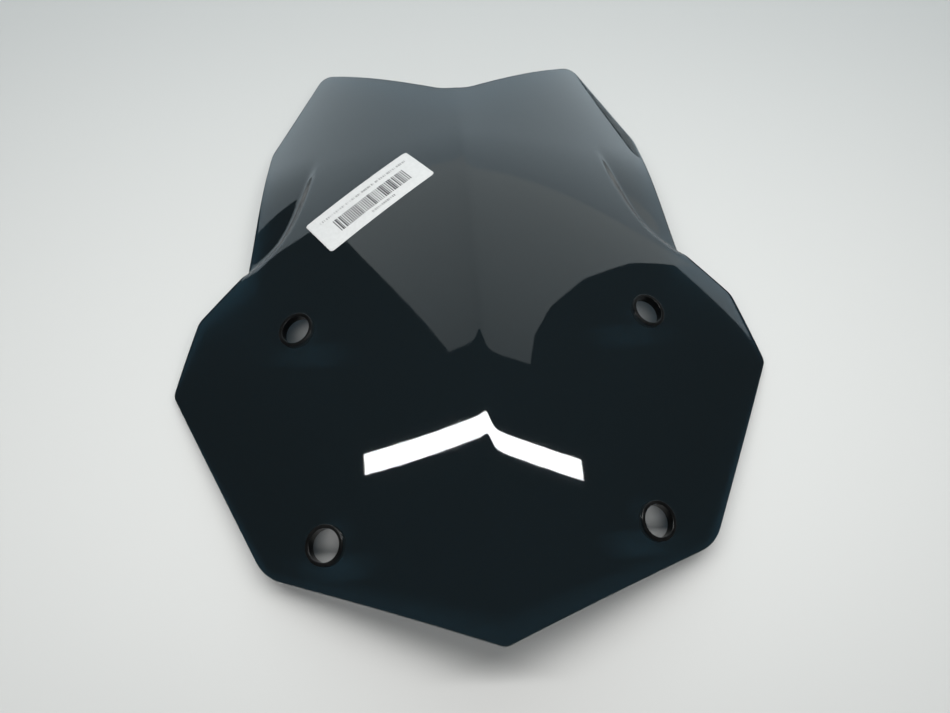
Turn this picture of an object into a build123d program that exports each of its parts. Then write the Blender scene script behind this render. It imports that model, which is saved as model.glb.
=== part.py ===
from build123d import *
import os
from math import hypot

# Motorcycle windshield screen: one moulded sheet, four rubber grommets and a stock label.
# Millimetres. The sheet is set out with its lower tip at x = 0, y = 0 and its length along +Y,
# the convex face up, and moved at the end so that the origin is under the middle of it.

# --- sheet outline, right half (the left half is its mirror image) ---
BOTTOM_CORNER = (134.0, 52.0)
WIDEST_CORNER = (201.5, 177.0)
SHOULDER = (187.5, 228.5)
WAIST = (156.0, 258.0)
EAR = (145.5, 382.0)
TOP_CORNER = (106.0, 468.5)
NOTCH_Y = 401.0
CORNER_RADII = {BOTTOM_CORNER: 30, WIDEST_CORNER: 8, SHOULDER: 12, WAIST: 5, EAR: 25, TOP_CORNER: 8}
TIP_RADIUS = 7.0
NOTCH_RADIUS = 28.0

# --- sheet form ---
WALL = 4.4                  # measured straight down, about 4 mm through the wall
CREST_HEIGHT = 72.5         # top of the crest above the level that the sheet is set out from
CREST_Y = 230.0             # where along the length the crest is highest
CREST_FALL = 7.7e-4         # how fast the crest falls away from there, per mm
CREST_SKEW = 8.85e-7        # falls faster towards the top edge than towards the tip
LIP_START_Y = 350.0         # past here the crest straightens into the top lip
LIP_LIFT = 1.1e-3
ROOF_Y = 205.0              # where the two halves are flattest and steepest
ROOF_SLOPE = 0.27
ROOF_SLOPE_LOSS = 3.6e-6
ROOF_CURVE = 3.5e-4
ROOF_CURVE_GAIN = 2.5e-8
CREASE_RADIUS = 2.0         # softness of the fold along the middle

# --- the step down to the side panels beside the waist ---
STEP_DEPTH = 8.0
STEP_WIDTH = 6.5
STEP_BEND = 0.25            # share of the width that bends, at each side
STEP_START = (106.0, 362.0) # the step starts here as nothing
STEP_RUN = 97.0             # its length along Y, down to the waist
STEP_DRIFT = 26.0           # how far its line drifts outwards on the way
STEP_FLARE = 16.0           # and how far it then swings out into the waist
DRIFT_POWER = 1.3
FLARE_POWER = 7

# --- mounting holes and grommets ---
UPPER_HOLE = (116.0, 203.0)
LOWER_HOLE = (97.0, 64.0)
SHEET_HOLE_DIA = 21.6
GROMMET_BORE_DIA = 19.2
GROMMET_FLANGE_DIA = 23.8
GROMMET_LIP = 0.7           # thickness of each flange
GROOVE_SLACK = 0.3          # the groove is this much wider than the wall
LIP_ROUND = 0.3

# --- stock label ---
LABEL_CENTRE = (-66.0, 296.0)
LABEL_SIZE = (87.5, 35.0)
LABEL_ANGLE = 34.0
LABEL_ROUND = 2.0
LABEL_THICK = 0.15

# --- ribs that carry the sheet's surface ---
GRID_HALF_WIDTH = 214.0
GRID_Y = (-14.0, 486.0)
RIBS = 84
RIB_POINTS = 181


def smooth(t):
    """0 up to t = 0, 1 from t = 1, with level ends."""
    t = min(max(t, 0.0), 1.0)
    return t * t * (3 - 2 * t)


def crest(y):
    """Height of the middle line."""
    d = y - CREST_Y
    lip = LIP_LIFT * max(0.0, y - LIP_START_Y) ** 2
    return CREST_HEIGHT - CREST_FALL * d ** 2 - CREST_SKEW * d ** 3 + lip


def ramp(t):
    """0 up to t = 0 and 1 from t = 1, straight between, with a short parabola at each end."""
    t = min(1.0, max(0.0, t))
    if t > 0.5:
        return 1 - ramp(1 - t)
    if t < STEP_BEND:
        return t * t / (2 * STEP_BEND * (1 - STEP_BEND))
    return (t - STEP_BEND / 2) / (1 - STEP_BEND)


def step(x, y):
    """Drop of the side panels across the step line, which swings out into the waist."""
    run = max(0.0, (STEP_START[1] - y) / STEP_RUN)
    line_x = STEP_START[0] + STEP_DRIFT * run ** DRIFT_POWER + STEP_FLARE * run ** FLARE_POWER
    drift = DRIFT_POWER * STEP_DRIFT * run ** (DRIFT_POWER - 1)
    flare = FLARE_POWER * STEP_FLARE * run ** (FLARE_POWER - 1)
    width = STEP_WIDTH * hypot(1, (drift + flare) / STEP_RUN)
    return STEP_DEPTH * smooth(run) * ramp(0.5 + (x - line_x) / width)


def height(x, y):
    """Outer face: a crest with two gently curved halves falling away like a roof."""
    side = hypot(x, CREASE_RADIUS) - CREASE_RADIUS
    off = (y - ROOF_Y) ** 2
    slope = ROOF_SLOPE - ROOF_SLOPE_LOSS * off
    curve = ROOF_CURVE + ROOF_CURVE_GAIN * off
    return crest(y) - slope * side - curve * side ** 2 - step(abs(x), y)


def outward(x, y):
    """Unit normal of the outer face."""
    d = 0.5
    fall_x = (height(x + d, y) - height(x - d, y)) / (2 * d)
    fall_y = (height(x, y + d) - height(x, y - d)) / (2 * d)
    return Vector(-fall_x, -fall_y, 1).normalized()


def outer_face():
    """The whole outer face as one smooth surface, larger than the outline all round."""
    low, high = GRID_Y
    across = [i / (RIB_POINTS - 1) for i in range(RIB_POINTS)]
    ribs = []
    for j in range(RIBS):
        y = low + (high - low) * j / (RIBS - 1)
        points = [Vector(x, y, height(x, y)) for x in (GRID_HALF_WIDTH * (2 * t - 1) for t in across)]
        ribs.append(Wire([Edge.make_spline(points, parameters=across)]))
    return Shell.make_loft(ribs).faces()[0]


def outline():
    """The flat outline of the sheet, with every corner rounded."""
    right = list(CORNER_RADII)
    left = [(-x, y) for x, y in reversed(right)]
    corners = [(0, 0)] + right + [(0, NOTCH_Y)] + left
    radii = list(CORNER_RADII.values())
    radii = [TIP_RADIUS] + radii + [NOTCH_RADIUS] + radii[::-1]
    flat = make_face(Polyline(*corners, close=True))
    for (x, y), radius in zip(corners, radii):
        near = min(flat.vertices(), key=lambda v: hypot(v.X - x, v.Y - y))
        flat = fillet(near, radius)
    return flat


def hole_places():
    """Each hole's name, the middle of its wall and its outward direction."""
    places = {}
    for level, (x, y) in (("upper", UPPER_HOLE), ("lower", LOWER_HOLE)):
        for side, sign in (("left", -1), ("right", 1)):
            normal = outward(sign * x, y)
            wall = WALL * normal.Z
            middle = Vector(sign * x, y, height(sign * x, y)) - normal * (wall / 2)
            places[f"{level}_{side}"] = (middle, normal, wall)
    return places


def screen(face):
    """The moulded sheet: the outer face given its wall, cut to the outline and drilled."""
    sheet = extrude(face, amount=WALL, dir=(0, 0, -1))
    sheet = sheet & extrude(outline(), amount=300, both=True)
    for middle, normal, _ in hole_places().values():
        drill = Plane(origin=middle, z_dir=normal) * Cylinder(SHEET_HOLE_DIA / 2, 40)
        sheet = sheet - drill
    return sheet


def grommet(middle, normal, wall):
    """Rubber ring that grips the wall: two flanges with a groove between them."""
    bore, neck, rim = GROMMET_BORE_DIA / 2, SHEET_HOLE_DIA / 2, GROMMET_FLANGE_DIA / 2
    groove = (wall + GROOVE_SLACK) / 2
    end = groove + GROMMET_LIP
    section = make_face(Polyline(
        (bore, -end), (rim, -end), (rim, -groove), (neck, -groove),
        (neck, groove), (rim, groove), (rim, end), (bore, end), close=True))
    lips = [v for v in section.vertices() if abs(v.Y) > groove + 0.1]
    section = fillet(lips, LIP_ROUND)
    ring = revolve(Plane.XZ * section, axis=Axis.Z)
    return Plane(origin=middle, z_dir=normal) * ring


def stock_label(face):
    """Thin paper label that lies on the outer face."""
    skin = extrude(face, amount=LABEL_THICK, dir=(0, 0, 1))
    patch = Rot(0, 0, LABEL_ANGLE) * RectangleRounded(*LABEL_SIZE, LABEL_ROUND)
    return skin & extrude(Pos(*LABEL_CENTRE) * patch, amount=300, both=True)


os.makedirs("parts", exist_ok=True)
surface = outer_face()
nodes = {"screen": screen(surface), "stock_label": stock_label(surface)}
for name, place in hole_places().items():
    nodes["grommet_" + name] = grommet(*place)

box = nodes["screen"].bounding_box()
to_frame = Pos(0, -(box.min.Y + box.max.Y) / 2, -box.min.Z)
for name, shape in nodes.items():
    export_step(to_frame * shape, f"parts/{name}.step")

print("sheet", [round(v, 2) for v in box.size], "moved by", to_frame.position)
for name, (middle, normal, wall) in hole_places().items():
    print(name, to_frame * Pos(middle), normal, round(wall, 3))
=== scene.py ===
import math

import bpy
import numpy as np
from mathutils import Matrix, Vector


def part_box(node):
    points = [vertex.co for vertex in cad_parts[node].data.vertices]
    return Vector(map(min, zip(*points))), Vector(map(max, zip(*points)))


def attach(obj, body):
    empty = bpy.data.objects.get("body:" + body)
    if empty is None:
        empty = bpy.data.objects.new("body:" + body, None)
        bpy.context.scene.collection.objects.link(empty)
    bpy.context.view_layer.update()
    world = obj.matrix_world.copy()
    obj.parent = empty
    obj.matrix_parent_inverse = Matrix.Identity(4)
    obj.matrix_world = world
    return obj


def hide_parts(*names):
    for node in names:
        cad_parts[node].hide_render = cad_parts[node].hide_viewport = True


# Smoked motorcycle windscreen lying outer face up: the moulded sheet, its four rubber grommets
# and a stock label. Sizes are in millimetres and become metres when a mesh is made. The sheet is
# set out with its lower tip at x = 0, y = 0, then moved onto the frame's own box.

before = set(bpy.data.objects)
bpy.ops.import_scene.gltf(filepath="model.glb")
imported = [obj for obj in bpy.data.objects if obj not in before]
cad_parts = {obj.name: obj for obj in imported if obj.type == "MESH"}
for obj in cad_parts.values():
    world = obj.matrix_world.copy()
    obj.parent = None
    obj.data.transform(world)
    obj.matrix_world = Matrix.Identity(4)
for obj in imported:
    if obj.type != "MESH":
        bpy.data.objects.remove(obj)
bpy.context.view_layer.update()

MM = 0.001

# --- sheet outline: corners of the right half and their radii, from the tip to the notch ---
CORNERS = [(0.0, 0.0, 7.0), (134.0, 52.0, 30.0), (201.5, 177.0, 8.0), (187.5, 228.5, 12.0),
           (156.0, 258.0, 5.0), (145.5, 382.0, 25.0), (106.0, 468.5, 8.0), (0.0, 401.0, 28.0)]
BOTTOM_CORNER, TOP_CORNER = 1, 6      # where the side ends and the lower and top edges begin
ARC_STEPS = 16

# --- sheet form ---
WALL = 4.4
EDGE_ROUND = 0.35
BOX_GAP = 0.03                        # keeps the rounded rim just inside the solid's box
CREST_HEIGHT, CREST_Y, CREST_FALL, CREST_SKEW = 72.5, 230.0, 7.7e-4, 8.85e-7
LIP_START_Y, LIP_LIFT = 350.0, 1.1e-3
ROOF_Y, ROOF_SLOPE, ROOF_SLOPE_LOSS = 205.0, 0.27, 3.6e-6
ROOF_CURVE, ROOF_CURVE_GAIN = 3.5e-4, 2.5e-8
CREASE_RADIUS = 2.0
STEP_DEPTH, STEP_WIDTH, STEP_BEND = 8.0, 6.5, 0.25
STEP_START_X, STEP_START_Y, STEP_RUN = 106.0, 362.0, 97.0
STEP_DRIFT, DRIFT_POWER, STEP_FLARE, FLARE_POWER = 26.0, 1.3, 16.0, 7

# --- holes, grommets, label ---
HOLES = {"upper_left": (-116.0, 203.0), "upper_right": (116.0, 203.0),
         "lower_left": (-97.0, 64.0), "lower_right": (97.0, 64.0)}
HOLE_RADIUS = 10.8
BORE_RADIUS = 9.6
FLANGE_RADIUS = 11.9
FLANGE_LIP = 0.7
GROOVE_SLACK = 0.3
LIP_ROUND = 0.3
LABEL_CENTRE = (-66.0, 296.0)
LABEL_HALF = (43.75, 17.5)
LABEL_TURN = math.radians(34.0)
LABEL_ROUND = 2.0
LABEL_THICK = 0.15

# --- mesh grids ---
GRID_ACROSS, GRID_ALONG = 222, 196
CREASE_CROWDING = 0.75
HOLE_CELLS, HOLE_BLEND = 3, 10        # cells left out at a hole, and cells that bend round it
GROMMET_TURNS = 96

# --- studio, in metres and watts; angles in degrees, the tube's in radians ---
TUBE_PLACE, TUBE_YAW = (0.016, -0.049, 0.60), -0.039
TUBE_SIZE, TUBE_POWER = (1.10, 0.042), 4.2
WIDE_LIGHTS = {"ceiling": ((0.1, 1.3, 2.0), 0, (2.4, 1.6), 14.0),       # place, lean, size, power
               "fill": ((-0.15, -1.1, 2.1), 28, (0.9, 0.6), 15.0),
               "low_fill": ((0.0, -2.0, 0.8), 68, (2.4, 1.2), 3.0)}
PANEL_TOP, PANEL_BOTTOM = (0.54, 1.58), (1.06, 0.60)      # y and z of the leaning panel's edges
PANEL_LEFT = -0.83
PANEL_RIGHT = [(0.0, 1.24), (0.2, 1.15), (0.4, 1.12), (0.6, 1.16), (0.8, 1.30), (1.0, 1.60)]
LOW_PANEL_Y, LOW_PANEL_X, LOW_PANEL_TOPS = 2.4, (-3.2, 3.4), (1.5, 1.55)
RIGHT_PANEL_END, RIGHT_PANEL_TOP = (3.8, 0.0), 1.0
PANEL_FOOT = 0.02
CAMERA_PITCH, CAMERA_YAW, CAMERA_ROLL, CAMERA_LENS = 61.7, 7.52, 3.27, 28.2
CAMERA_X, CAMERA_BEFORE_TIP, CAMERA_ABOVE_CREST = -0.0315, 0.048, 0.3824


# ------------------------------------------------------------------ the sheet's surface
def smooth(t):
    """0 up to t = 0, 1 from t = 1, with level ends: 3t^2 - 2t^3 between."""
    t = np.clip(t, 0.0, 1.0)
    return t * t * (3 - 2 * t)


def ramp(t):
    """0 up to t = 0 and 1 from t = 1, straight between, with a short parabola at each end."""
    t = np.clip(t, 0.0, 1.0)
    near = np.minimum(t, 1 - t)
    bend = near ** 2 / (2 * STEP_BEND * (1 - STEP_BEND))
    low = np.where(near < STEP_BEND, bend, (near - STEP_BEND / 2) / (1 - STEP_BEND))
    return np.where(t > 0.5, 1 - low, low)


def crest(y):
    """Height of the middle line: a skewed arch whose last stretch is lifted into a lip."""
    d = y - CREST_Y
    lip = LIP_LIFT * np.maximum(0.0, y - LIP_START_Y) ** 2
    return CREST_HEIGHT - CREST_FALL * d ** 2 - CREST_SKEW * d ** 3 + lip


def panel_step(x, y):
    """Drop of the side panels: a ramp across a line that swings out into the waist."""
    run = np.maximum(0.0, (STEP_START_Y - y) / STEP_RUN)
    line_x = STEP_START_X + STEP_DRIFT * run ** DRIFT_POWER + STEP_FLARE * run ** FLARE_POWER
    drift = DRIFT_POWER * STEP_DRIFT * run ** (DRIFT_POWER - 1)
    flare = FLARE_POWER * STEP_FLARE * run ** (FLARE_POWER - 1)
    width = STEP_WIDTH * np.hypot(1, (drift + flare) / STEP_RUN)
    return STEP_DEPTH * smooth(run) * ramp(0.5 + (x - line_x) / width)


def height(x, y):
    """Outer face: the crest less a roof, slope times side plus curve times side squared."""
    side = np.hypot(x, CREASE_RADIUS) - CREASE_RADIUS
    off = (y - ROOF_Y) ** 2
    slope = ROOF_SLOPE - ROOF_SLOPE_LOSS * off
    curve = ROOF_CURVE + ROOF_CURVE_GAIN * off
    return crest(y) - slope * side - curve * side ** 2 - panel_step(np.abs(x), y)


def outward(x, y):
    """Unit normal of the outer face, from its slopes over one millimetre."""
    fall_x = height(x + 0.5, y) - height(x - 0.5, y)
    fall_y = height(x, y + 0.5) - height(x, y - 0.5)
    n = np.array([-fall_x, -fall_y, 1.0])
    return n / np.linalg.norm(n)


# ------------------------------------------------------------------ outline
def rounded_corner(before, corner, after, radius, steps=ARC_STEPS):
    """Arc that rounds one corner: it touches both runs at radius / tan(half the angle)."""
    a, b = before - corner, after - corner
    a, b = a / np.linalg.norm(a), b / np.linalg.norm(b)
    half = 0.5 * math.acos(float(a @ b))
    centre = corner + (a + b) / np.linalg.norm(a + b) * radius / math.sin(half)
    reach = radius / math.tan(half)
    start, end = corner + a * reach - centre, corner + b * reach - centre
    t = np.linspace(0, 1, 2 * steps + 1)[:, None]
    sweep = math.pi - 2 * half
    return centre + (np.sin((1 - t) * sweep) * start + np.sin(t * sweep) * end) / math.sin(sweep)


def half_outline(inset):
    """Right half of the outline in three runs: lower edge, side and top edge, moved inwards by
    inset. Each run starts and ends in the middle of a rounded corner."""
    xy = np.array([c[:2] for c in CORNERS])
    mirror = np.array([-1.0, 1.0])
    points = np.vstack([xy[1] * mirror, xy, xy[-2] * mirror])
    arcs = [rounded_corner(points[i], points[i + 1], points[i + 2], CORNERS[i][2])
            for i in range(len(CORNERS))]
    path = np.vstack(arcs)
    run = np.gradient(path, axis=0)
    normal = np.stack([run[:, 1], -run[:, 0]], 1)
    path = path - inset * normal / np.linalg.norm(normal, axis=1)[:, None]
    arc = 2 * ARC_STEPS + 1
    stops = [k * arc + ARC_STEPS for k in (0, BOTTOM_CORNER, TOP_CORNER, len(CORNERS) - 1)]
    return [path[a:b + 1] for a, b in zip(stops, stops[1:])]


def resample(path, count):
    """count + 1 points evenly spaced along a run, by its length."""
    length = np.r_[0, np.cumsum(np.linalg.norm(np.diff(path, axis=0), axis=1))]
    at = np.linspace(0, length[-1], count + 1)
    return np.stack([np.interp(at, length, path[:, k]) for k in (0, 1)], 1)


# ------------------------------------------------------------------ mesh helpers
def move_to_frame():
    """Shift from the setting-out place to the frame: the tip to the box's near side and the top
    of the crest to the box's top."""
    low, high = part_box("screen")
    tip = half_outline(0.0)[0][0, 1]
    return np.array([0.0, low.y / MM - tip, high.z / MM - CREST_HEIGHT])


SHIFT = move_to_frame()


def add_mesh(name, points, faces, material):
    """A mesh object from arrays of points (millimetres) and faces, riding on the root body."""
    mesh = bpy.data.meshes.new(name)
    mesh.from_pydata(((points + SHIFT) * MM).tolist(), [], faces.tolist())
    mesh.polygons.foreach_set("use_smooth", np.ones(len(mesh.polygons), bool))
    mesh.materials.append(material)
    mesh.update()
    piece = bpy.data.objects.new(name, mesh)
    bpy.context.scene.collection.objects.link(piece)
    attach(piece, "root")
    return piece


def grid_faces(index):
    """Quads between neighbours of a 2-D array of point numbers."""
    return np.stack([index[:-1, :-1], index[1:, :-1], index[1:, 1:], index[:-1, 1:]], -1)


def band_faces(rows):
    """Quads of a closed band: each row of point numbers is one loop."""
    rows = np.hstack([rows, rows[:, :1]])
    return grid_faces(rows).reshape(-1, 4)


def edge_loop(index):
    """Point numbers round the border of a 2-D array, anticlockwise seen from above."""
    return np.concatenate([index[:-1, 0], index[-1, :-1], index[:0:-1, -1], index[0, :0:-1]])


def slab(outer, inner, keep, holes, rim):
    """Closed wall between two grids of points with the same layout. keep marks the quads that
    are there, holes lists index loops joined by a plain wall, and rim is the profile carried
    round the border: pairs of outward offset and share of the wall's depth."""
    shape = outer.shape[:2]
    top = np.arange(shape[0] * shape[1]).reshape(shape)
    base = top + top.size
    points = [outer.reshape(-1, 3), inner.reshape(-1, 3)]
    faces = [grid_faces(top)[keep], grid_faces(base)[keep][:, ::-1]]
    loop_top, loop_base = edge_loop(top), edge_loop(base)
    flat = np.vstack(points)
    ring = flat[loop_top, :2]
    run = np.roll(ring, -1, axis=0) - np.roll(ring, 1, axis=0)
    out = np.stack([run[:, 1], -run[:, 0]], 1)
    out /= np.linalg.norm(out, axis=1)[:, None]
    rows = [loop_top]
    for offset, depth in rim:
        at = flat[loop_top] * (1 - depth) + flat[loop_base] * depth
        at[:, :2] += out * offset
        rows.append(2 * top.size + np.arange(len(at)) + len(loop_top) * (len(rows) - 1))
        points.append(at)
    rows.append(loop_base)
    faces.append(band_faces(np.array(rows)))
    for loop in holes:
        faces.append(band_faces(np.array([top.reshape(-1)[loop], base.reshape(-1)[loop]]))[:, ::-1])
    return np.vstack(points), np.vstack(faces)


# ------------------------------------------------------------------ the screen
def sheet_plan():
    """Plan grid of the sheet. Across, x is the side run's x times s from -1 to 1, with the columns
    closer together at the crease. Along, y is the side run's y plus the lower and top edges' own
    bends, faded in with the share of the way."""
    lower, side, upper = half_outline(EDGE_ROUND + BOX_GAP)
    side = resample(side, GRID_ALONG)
    s = np.linspace(-1, 1, GRID_ACROSS + 1)[:, None]
    s = s * (CREASE_CROWDING + (1 - CREASE_CROWDING) * np.abs(s))
    share = np.linspace(0, 1, GRID_ALONG + 1)[None, :]
    upper = upper[::-1]
    low_y = np.interp(np.abs(s) * lower[-1, 0], lower[:, 0], lower[:, 1])
    high_y = np.interp(np.abs(s) * upper[-1, 0], upper[:, 0], upper[:, 1])
    x = s * side[None, :, 0]
    y = side[None, :, 1] + (1 - share) * (low_y - side[0, 1]) + share * (high_y - side[-1, 1])
    return np.stack([x, y], -1)


def hole_frame(name):
    """Middle of the hole on the outer face, its direction and two directions across it."""
    x, y = HOLES[name]
    normal = outward(x, y)
    across = np.cross([0.0, 1.0, 0.0], normal)
    across /= np.linalg.norm(across)
    return np.array([x, y, height(x, y)]), normal, across, np.cross(normal, across)


def open_hole(plan, name, depth):
    """Bends the plan grid round one hole at a depth below the outer face: square rings of grid
    points become circles, wholly at the hole's rim and fading out HOLE_BLEND cells away. Returns
    the new grid and the index of the hole's middle."""
    middle, normal, across, up = hole_frame(name)
    middle = middle - normal * depth
    gap = np.linalg.norm(plan - np.array(HOLES[name]), axis=-1)
    ci, cj = np.unravel_index(gap.argmin(), gap.shape)
    reach = np.arange(-HOLE_BLEND, HOLE_BLEND + 1)
    di, dj = np.meshgrid(reach, reach, indexing="ij")
    ring = np.maximum(np.abs(di), np.abs(dj))
    wide = np.abs(di) >= np.abs(dj)
    with np.errstate(divide="ignore", invalid="ignore"):
        turn = np.where(wide, math.pi / 4 * dj / di, math.pi / 2 - math.pi / 4 * di / dj)
    turn = np.where(np.where(wide, di, dj) < 0, turn + math.pi, turn)
    turn = np.where(ring == 0, 0.0, turn)
    block = plan[ci - HOLE_BLEND:ci + HOLE_BLEND + 1, cj - HOLE_BLEND:cj + HOLE_BLEND + 1]
    far = 0.5 * np.linalg.norm(block[-1, HOLE_BLEND] - block[0, HOLE_BLEND])
    share = (ring - HOLE_CELLS) / (HOLE_BLEND - HOLE_CELLS)
    radius = HOLE_RADIUS + (far - HOLE_RADIUS) * np.clip(share, 0, 1)
    radius = np.where(ring < HOLE_CELLS, HOLE_RADIUS * ring / HOLE_CELLS, radius)
    circle = (middle[:2] + (radius * np.cos(turn))[..., None] * across[:2]
              + (radius * np.sin(turn))[..., None] * up[:2])
    weight = smooth(1 - share)[..., None]
    plan = plan.copy()
    plan[ci - HOLE_BLEND:ci + HOLE_BLEND + 1, cj - HOLE_BLEND:cj + HOLE_BLEND + 1] = (
        weight * circle + (1 - weight) * block)
    return plan, (ci, cj)


def make_screen(material):
    """The moulded sheet: outer face, inner face one wall lower, rounded rim and four holes."""
    plain = sheet_plan()
    outer, inner = plain, plain
    keep = np.ones((GRID_ACROSS, GRID_ALONG), bool)
    loops = []
    columns = GRID_ALONG + 1
    n = HOLE_CELLS
    for name in HOLES:
        wall = WALL * hole_frame(name)[1][2]
        outer, (ci, cj) = open_hole(outer, name, 0.0)
        inner, _ = open_hole(inner, name, wall)
        keep[ci - n:ci + n, cj - n:cj + n] = False
        block = np.arange((GRID_ACROSS + 1) * columns).reshape(-1, columns)
        loops.append(edge_loop(block[ci - n:ci + n + 1, cj - n:cj + n + 1]))
    top = np.dstack([outer, height(outer[..., 0], outer[..., 1])])
    base = np.dstack([inner, height(inner[..., 0], inner[..., 1]) - WALL])
    bend = np.linspace(0, math.pi / 2, 6)[1:]
    upper = [(EDGE_ROUND * math.sin(a), EDGE_ROUND * (1 - math.cos(a)) / WALL) for a in bend]
    rim = upper + [(o, 1 - d) for o, d in upper[::-1]]
    points, faces = slab(top, base, keep, loops, rim)
    piece = add_mesh("screen_sheet", points, faces, material)
    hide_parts("screen")
    return piece


# ------------------------------------------------------------------ grommets
def rounded_run(corners, radii):
    """A closed section's points: each corner rounded by its own radius, or kept where it is 0."""
    corners = np.array(corners, float)
    runs = []
    for k, radius in enumerate(radii):
        before, after = corners[k - 1], corners[(k + 1) % len(corners)]
        runs.append(rounded_corner(before, corners[k], after, radius, 4) if radius else corners[k:k + 1])
    return np.vstack(runs)


def make_grommet(name, material):
    """Rubber ring: an H-shaped section turned about the hole's axis."""
    middle, normal, across, up = hole_frame(name)
    wall = WALL * normal[2]
    groove = (wall + GROOVE_SLACK) / 2
    end = groove + FLANGE_LIP
    section = rounded_run(
        [(BORE_RADIUS, -end), (FLANGE_RADIUS, -end), (FLANGE_RADIUS, -groove), (HOLE_RADIUS, -groove),
         (HOLE_RADIUS, groove), (FLANGE_RADIUS, groove), (FLANGE_RADIUS, end), (BORE_RADIUS, end)],
        [LIP_ROUND, LIP_ROUND, 0.1, 0, 0, 0.1, LIP_ROUND, LIP_ROUND])
    turn = np.linspace(0, 2 * math.pi, GROMMET_TURNS, endpoint=False)[:, None, None]
    radius, level = section[None, :, :1], section[None, :, 1:]
    points = (middle - normal * wall / 2 + radius * (np.cos(turn) * across + np.sin(turn) * up)
              + level * normal)
    index = np.arange(points.shape[0] * points.shape[1]).reshape(points.shape[:2])
    index = np.vstack([index, index[:1]])
    index = np.hstack([index, index[:, :1]])
    faces = grid_faces(index).reshape(-1, 4)
    piece = add_mesh("grommet_ring_" + name, points.reshape(-1, 3), faces, material)
    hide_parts("grommet_" + name)
    return piece


# ------------------------------------------------------------------ label
def make_label(material):
    """Paper label draped on the outer face: a rectangle whose rows shorten at its round corners,
    turned in plan and lifted by its own thickness."""
    length, width = LABEL_HALF
    a = np.linspace(-1, 1, 81)[:, None]
    b = np.linspace(-1, 1, 41)[None, :] * width
    into = np.clip(np.abs(b) - (width - LABEL_ROUND), 0, LABEL_ROUND)
    shorter = LABEL_ROUND - np.sqrt(LABEL_ROUND ** 2 - into ** 2)
    along, over = a * (length - shorter), b + 0 * a
    x = LABEL_CENTRE[0] + along * math.cos(LABEL_TURN) - over * math.sin(LABEL_TURN)
    y = LABEL_CENTRE[1] + along * math.sin(LABEL_TURN) + over * math.cos(LABEL_TURN)
    base = np.dstack([x, y, height(x, y) + 0.01])
    top = base + [0, 0, LABEL_THICK - 0.01]
    points, faces = slab(top, base, np.ones((80, 40), bool), [], [(0.04, 0.5)])
    piece = add_mesh("stock_label_paper", points, faces, material)
    flat = np.stack([along / length, over / width], -1).reshape(-1, 2) * 0.5 + 0.5
    loop_point = np.zeros(len(piece.data.loops), int)
    piece.data.loops.foreach_get("vertex_index", loop_point)
    edge = flat[edge_loop(np.arange(81 * 41).reshape(81, 41))]
    uv = np.vstack([flat, flat, edge])
    layer = piece.data.uv_layers.new(name="label")
    layer.data.foreach_set("uv", uv[loop_point].reshape(-1).astype(np.float32))
    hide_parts("stock_label")
    return piece


# ------------------------------------------------------------------ materials
def new_material(name):
    """An empty node material: its tree, its output and a Principled shader joined to it."""
    material = bpy.data.materials.new(name)
    material.use_nodes = True
    tree = material.node_tree
    tree.nodes.clear()
    output = tree.nodes.new("ShaderNodeOutputMaterial")
    shader = tree.nodes.new("ShaderNodeBsdfPrincipled")
    tree.links.new(shader.outputs["BSDF"], output.inputs["Surface"])
    return material, tree, output, shader


def node(tree, kind, links=(), **values):
    """Adds a node: keyword values set its properties or, as in_NAME or in_0, its sockets."""
    made = tree.nodes.new(kind)
    for key, value in values.items():
        if key.startswith("in_"):
            socket = key[3:].replace("_", " ")
            made.inputs[int(socket) if socket.isdigit() else socket].default_value = value
        else:
            setattr(made, key, value)
    for source, socket in links:
        tree.links.new(source, made.inputs[socket])
    return made


def smoked_plastic():
    """Clear plastic with a dark blue-green smoke tint, polished, with faint wipe marks and a few
    hairline scratches."""
    material, tree, output, shader = new_material("smoked_plastic")
    shader.inputs["Base Color"].default_value = (0.55, 0.85, 1.0, 1)
    shader.inputs["Transmission Weight"].default_value = 0.991
    shader.inputs["IOR"].default_value = 1.52
    place = node(tree, "ShaderNodeTexCoord")
    wipe = node(tree, "ShaderNodeMapping", [(place.outputs["Object"], "Vector")],
                in_Rotation=(0, 0, 0.5), in_Scale=(14, 90, 14))
    wipes = node(tree, "ShaderNodeTexNoise", [(wipe.outputs[0], "Vector")], in_Scale=6.0, in_Detail=4.0)
    rough = node(tree, "ShaderNodeMapRange", [(wipes.outputs["Fac"], "Value")],
                 in_From_Min=0.45, in_From_Max=0.8, in_To_Min=0.02, in_To_Max=0.05)
    stroke = node(tree, "ShaderNodeMapping", [(place.outputs["Object"], "Vector")],
                  in_Rotation=(0, 0, -0.7), in_Scale=(2.5, 260, 2.5))
    strokes = node(tree, "ShaderNodeTexNoise", [(stroke.outputs[0], "Vector")], in_Scale=7.0,
                   in_Detail=2.0)
    scratch = node(tree, "ShaderNodeMapRange", [(strokes.outputs["Fac"], "Value")],
                   in_From_Min=0.72, in_From_Max=0.80, in_To_Min=0.0, in_To_Max=0.10)
    both = node(tree, "ShaderNodeMath", [(rough.outputs[0], 0), (scratch.outputs[0], 1)],
                operation="ADD")
    tree.links.new(both.outputs[0], shader.inputs["Roughness"])
    tint = node(tree, "ShaderNodeVolumeAbsorption", in_Color=(0.30, 0.42, 0.47, 1), in_Density=1250.0)
    tree.links.new(tint.outputs[0], output.inputs["Volume"])
    return material


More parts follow.
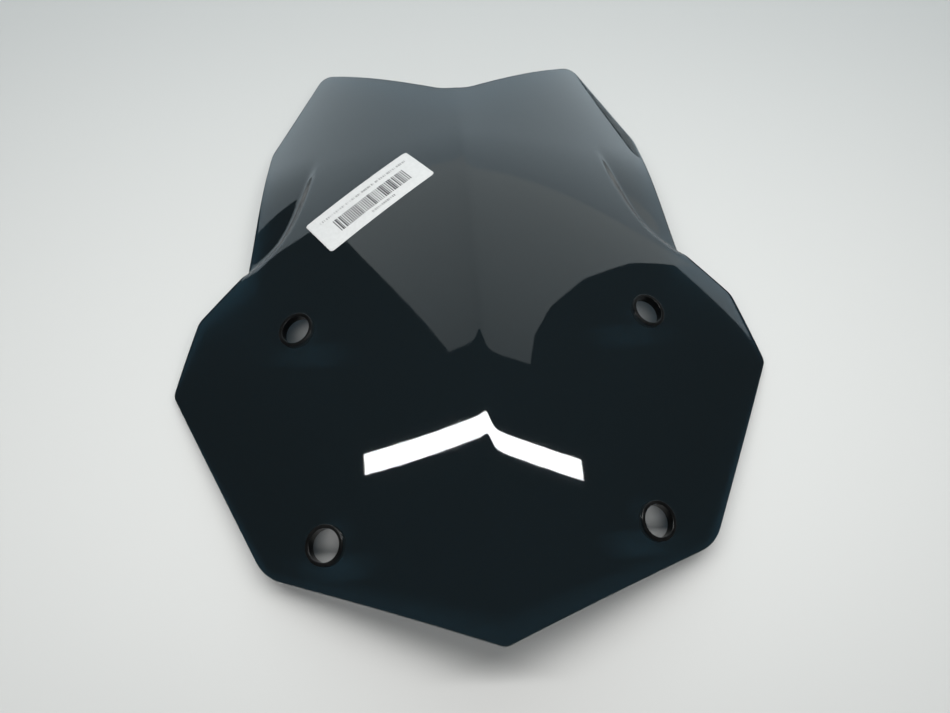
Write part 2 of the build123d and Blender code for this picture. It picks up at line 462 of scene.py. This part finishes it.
def black_rubber():
    """Satin moulded rubber with a fine grain."""
    material, tree, _, shader = new_material("black_rubber")
    place = node(tree, "ShaderNodeTexCoord")
    grain = node(tree, "ShaderNodeTexNoise", [(place.outputs["Object"], "Vector")],
                 in_Scale=900.0, in_Detail=3.0)
    dust = node(tree, "ShaderNodeTexNoise", [(place.outputs["Object"], "Vector")],
                in_Scale=160.0, in_Detail=5.0)
    shade = node(tree, "ShaderNodeValToRGB", [(dust.outputs["Fac"], "Fac")])
    shade.color_ramp.elements[0].color = (0.002, 0.002, 0.002, 1)
    shade.color_ramp.elements[0].position = 0.4
    shade.color_ramp.elements[1].color = (0.006, 0.006, 0.006, 1)
    shade.color_ramp.elements[1].position = 0.75
    tree.links.new(shade.outputs[0], shader.inputs["Base Color"])
    shader.inputs["Specular IOR Level"].default_value = 0.4
    rough = node(tree, "ShaderNodeMapRange", [(dust.outputs["Fac"], "Value")],
                 in_To_Min=0.12, in_To_Max=0.26)
    tree.links.new(rough.outputs[0], shader.inputs["Roughness"])
    bump = node(tree, "ShaderNodeBump", [(grain.outputs["Fac"], "Height")],
                in_Strength=0.35, in_Distance=0.00008)
    tree.links.new(bump.outputs[0], shader.inputs["Normal"])
    return material


def label_paper():
    """Coated white paper with generic print: a block of bars and two rows of small dashes."""
    material, tree, _, shader = new_material("label_paper")
    shader.inputs["Roughness"].default_value = 0.5
    uv = node(tree, "ShaderNodeUVMap", uv_map="label")
    split = node(tree, "ShaderNodeSeparateXYZ", [(uv.outputs[0], "Vector")])
    u, v = split.outputs["X"], split.outputs["Y"]

    def math_node(operation, a, b):
        made = node(tree, "ShaderNodeMath", operation=operation)
        for k, value in enumerate((a, b)):
            if isinstance(value, (int, float)):
                made.inputs[k].default_value = value
            else:
                tree.links.new(value, made.inputs[k])
        return made.outputs[0]

    def within(value, low, high):
        return math_node("MULTIPLY", math_node("GREATER_THAN", value, low),
                         math_node("LESS_THAN", value, high))

    def strokes(value, count, thin, spread, seed):
        """One stroke in each cell, its share of the cell thin plus up to spread."""
        scaled = math_node("MULTIPLY", value, count)
        noise = node(tree, "ShaderNodeTexWhiteNoise", noise_dimensions="1D",
                     links=[(math_node("ADD", math_node("FLOOR", scaled, 0), seed), "W")])
        share = math_node("ADD", math_node("MULTIPLY", noise.outputs["Value"], spread), thin)
        return math_node("LESS_THAN", math_node("FRACT", scaled, 0), share)

    def print_block(ink, cells, left, right, low, high):
        box = math_node("MULTIPLY", within(u, left, right), within(v, low, high))
        return math_node("MULTIPLY", math_node("MULTIPLY", cells, box), ink)

    bars = print_block(0.95, strokes(u, 58.0, 0.34, 0.5, 7.3), 0.17, 0.86, 0.27, 0.63)
    upper = print_block(0.55, strokes(u, 52.0, 0.1, 0.8, 31.7), 0.09, 0.93, 0.76, 0.82)
    lower = print_block(0.75, strokes(u, 60.0, 0.2, 0.6, 57.1), 0.44, 0.66, 0.14, 0.20)
    ink = math_node("MAXIMUM", bars, math_node("MAXIMUM", upper, lower))
    place = node(tree, "ShaderNodeTexCoord")
    fibre = node(tree, "ShaderNodeTexNoise", [(place.outputs["Object"], "Vector")],
                 in_Scale=420.0, in_Detail=5.0)
    paper = node(tree, "ShaderNodeValToRGB", [(fibre.outputs["Fac"], "Fac")])
    paper.color_ramp.elements[0].color = (0.52, 0.52, 0.51, 1)
    paper.color_ramp.elements[1].color = (0.64, 0.64, 0.63, 1)
    mixed = node(tree, "ShaderNodeMix", data_type="RGBA")
    tree.links.new(ink, mixed.inputs[0])
    tree.links.new(paper.outputs[0], mixed.inputs[6])
    mixed.inputs[7].default_value = (0.02, 0.02, 0.022, 1)
    tree.links.new(mixed.outputs[2], shader.inputs["Base Color"])
    bump = node(tree, "ShaderNodeBump", [(fibre.outputs["Fac"], "Height")],
                in_Strength=0.2, in_Distance=0.00005)
    tree.links.new(bump.outputs[0], shader.inputs["Normal"])
    return material


# ------------------------------------------------------------------ studio
def make_floor():
    """Plain pale floor under the part."""
    half = 4.0
    mesh = bpy.data.meshes.new("floor")
    mesh.from_pydata([(-half, -half, 0), (half, -half, 0), (half, half, 0), (-half, half, 0)], [],
                     [(0, 1, 2, 3)])
    material, tree, _, shader = new_material("pale_floor")
    shader.inputs["Base Color"].default_value = (0.58, 0.58, 0.565, 1)
    shader.inputs["Roughness"].default_value = 0.55
    mesh.materials.append(material)
    floor = bpy.data.objects.new("floor", mesh)
    bpy.context.scene.collection.objects.link(floor)


def emission(name, colour, low, high):
    """A light-giving material whose strength runs evenly between two (height, strength) pairs."""
    material = bpy.data.materials.new(name)
    material.use_nodes = True
    tree = material.node_tree
    tree.nodes.clear()
    output = tree.nodes.new("ShaderNodeOutputMaterial")
    place = node(tree, "ShaderNodeTexCoord")
    split = node(tree, "ShaderNodeSeparateXYZ", [(place.outputs["Object"], "Vector")])
    strength = node(tree, "ShaderNodeMapRange", [(split.outputs["Z"], "Value")], in_From_Min=low[0],
                    in_From_Max=high[0], in_To_Min=low[1], in_To_Max=high[1])
    glow = node(tree, "ShaderNodeEmission", [(strength.outputs[0], "Strength")], in_Color=(*colour, 1))
    tree.links.new(glow.outputs[0], output.inputs["Surface"])
    return material


def add_soft_panel(name, corners, material):
    """A flat light-giving panel with its own outline; it lights the part but isn't seen itself."""
    mesh = bpy.data.meshes.new(name)
    mesh.from_pydata(corners, [], [tuple(range(len(corners)))])
    mesh.materials.append(material)
    panel = bpy.data.objects.new(name, mesh)
    panel.visible_camera = False
    bpy.context.scene.collection.objects.link(panel)


def add_area(name, place, turn, size, power):
    """A rectangular soft light; unturned it shines straight down."""
    light = bpy.data.lights.new(name, "AREA")
    light.shape = "RECTANGLE"
    light.size, light.size_y = size
    light.energy = power
    lamp = bpy.data.objects.new(name, light)
    lamp.location = place
    lamp.rotation_euler = turn
    bpy.context.scene.collection.objects.link(lamp)
    return lamp


def make_world():
    """Dim surround, so that the sides of the sheet stay dark."""
    world = bpy.data.worlds.new("studio")
    world.use_nodes = True
    background = world.node_tree.nodes["Background"]
    background.inputs["Color"].default_value = (0.85, 0.95, 1.0, 1)
    background.inputs["Strength"].default_value = 0.05
    bpy.context.scene.world = world


def make_lights():
    """A tube overhead, a soft panel beyond the top edge that leans over the sheet with a broad
    low one behind it, and wide lights that the gloss doesn't show."""
    make_world()
    tube = add_area("tube", TUBE_PLACE, (0, 0, TUBE_YAW), TUBE_SIZE, TUBE_POWER)
    tube.visible_transmission = False
    for name, (place, lean, size, power) in WIDE_LIGHTS.items():
        lamp = add_area(name, place, (math.radians(lean), 0, 0), size, power)
        lamp.visible_glossy = False
        lamp.visible_transmission = False
    (top_y, top_z), (bottom_y, bottom_z) = PANEL_TOP, PANEL_BOTTOM
    corners = [(PANEL_LEFT, top_y, top_z)]
    corners += [(x, top_y + (bottom_y - top_y) * t, top_z + (bottom_z - top_z) * t) for t, x in PANEL_RIGHT]
    corners.append((PANEL_LEFT, bottom_y, bottom_z))
    add_soft_panel("soft_panel", corners,
                   emission("panel_glow", (0.89, 0.98, 1.0), (0.60, 1.35), (1.56, 0.75)))
    low_glow = emission("low_glow", (0.80, 0.93, 1.0), (0.1, 1.75), (1.4, 1.2))
    left, right = LOW_PANEL_X
    left_top, right_top = LOW_PANEL_TOPS
    near = [(right, LOW_PANEL_Y, right_top), (right, LOW_PANEL_Y, PANEL_FOOT)]
    add_soft_panel("low_panel", [(left, LOW_PANEL_Y, left_top)] + near
                   + [(left, LOW_PANEL_Y, PANEL_FOOT)], low_glow)
    add_soft_panel("right_panel", [near[0], (*RIGHT_PANEL_END, RIGHT_PANEL_TOP),
                                   (*RIGHT_PANEL_END, PANEL_FOOT), near[1]], low_glow)


def make_camera():
    """Camera above the tip end, looking down along the sheet towards the notch."""
    pitch, yaw, roll = (math.radians(a) for a in (CAMERA_PITCH, CAMERA_YAW, CAMERA_ROLL))
    look = np.array([math.sin(yaw) * math.cos(pitch), math.cos(yaw) * math.cos(pitch), -math.sin(pitch)])
    right = np.array([math.cos(yaw), -math.sin(yaw), 0.0])
    up = np.cross(right, look)
    right, up = (right * math.cos(roll) + up * math.sin(roll),
                 up * math.cos(roll) - right * math.sin(roll))
    camera = bpy.data.cameras.new("camera")
    camera.lens = CAMERA_LENS
    camera.sensor_width = 36.0
    camera.clip_start = 0.01
    view = bpy.data.objects.new("camera", camera)
    turn = Matrix([right, up, -look]).transposed()
    low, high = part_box("screen")
    place = (CAMERA_X, low.y - CAMERA_BEFORE_TIP, high.z + CAMERA_ABOVE_CREST)
    view.matrix_world = Matrix.Translation(place) @ turn.to_4x4()
    bpy.context.scene.collection.objects.link(view)
    bpy.context.scene.camera = view
    bpy.context.scene.view_settings.view_transform = "Standard"


make_screen(smoked_plastic())
rubber = black_rubber()
for hole in HOLES:
    make_grommet(hole, rubber)
make_label(label_paper())
make_floor()
make_lights()
make_camera()
bpy.context.view_layer.update()
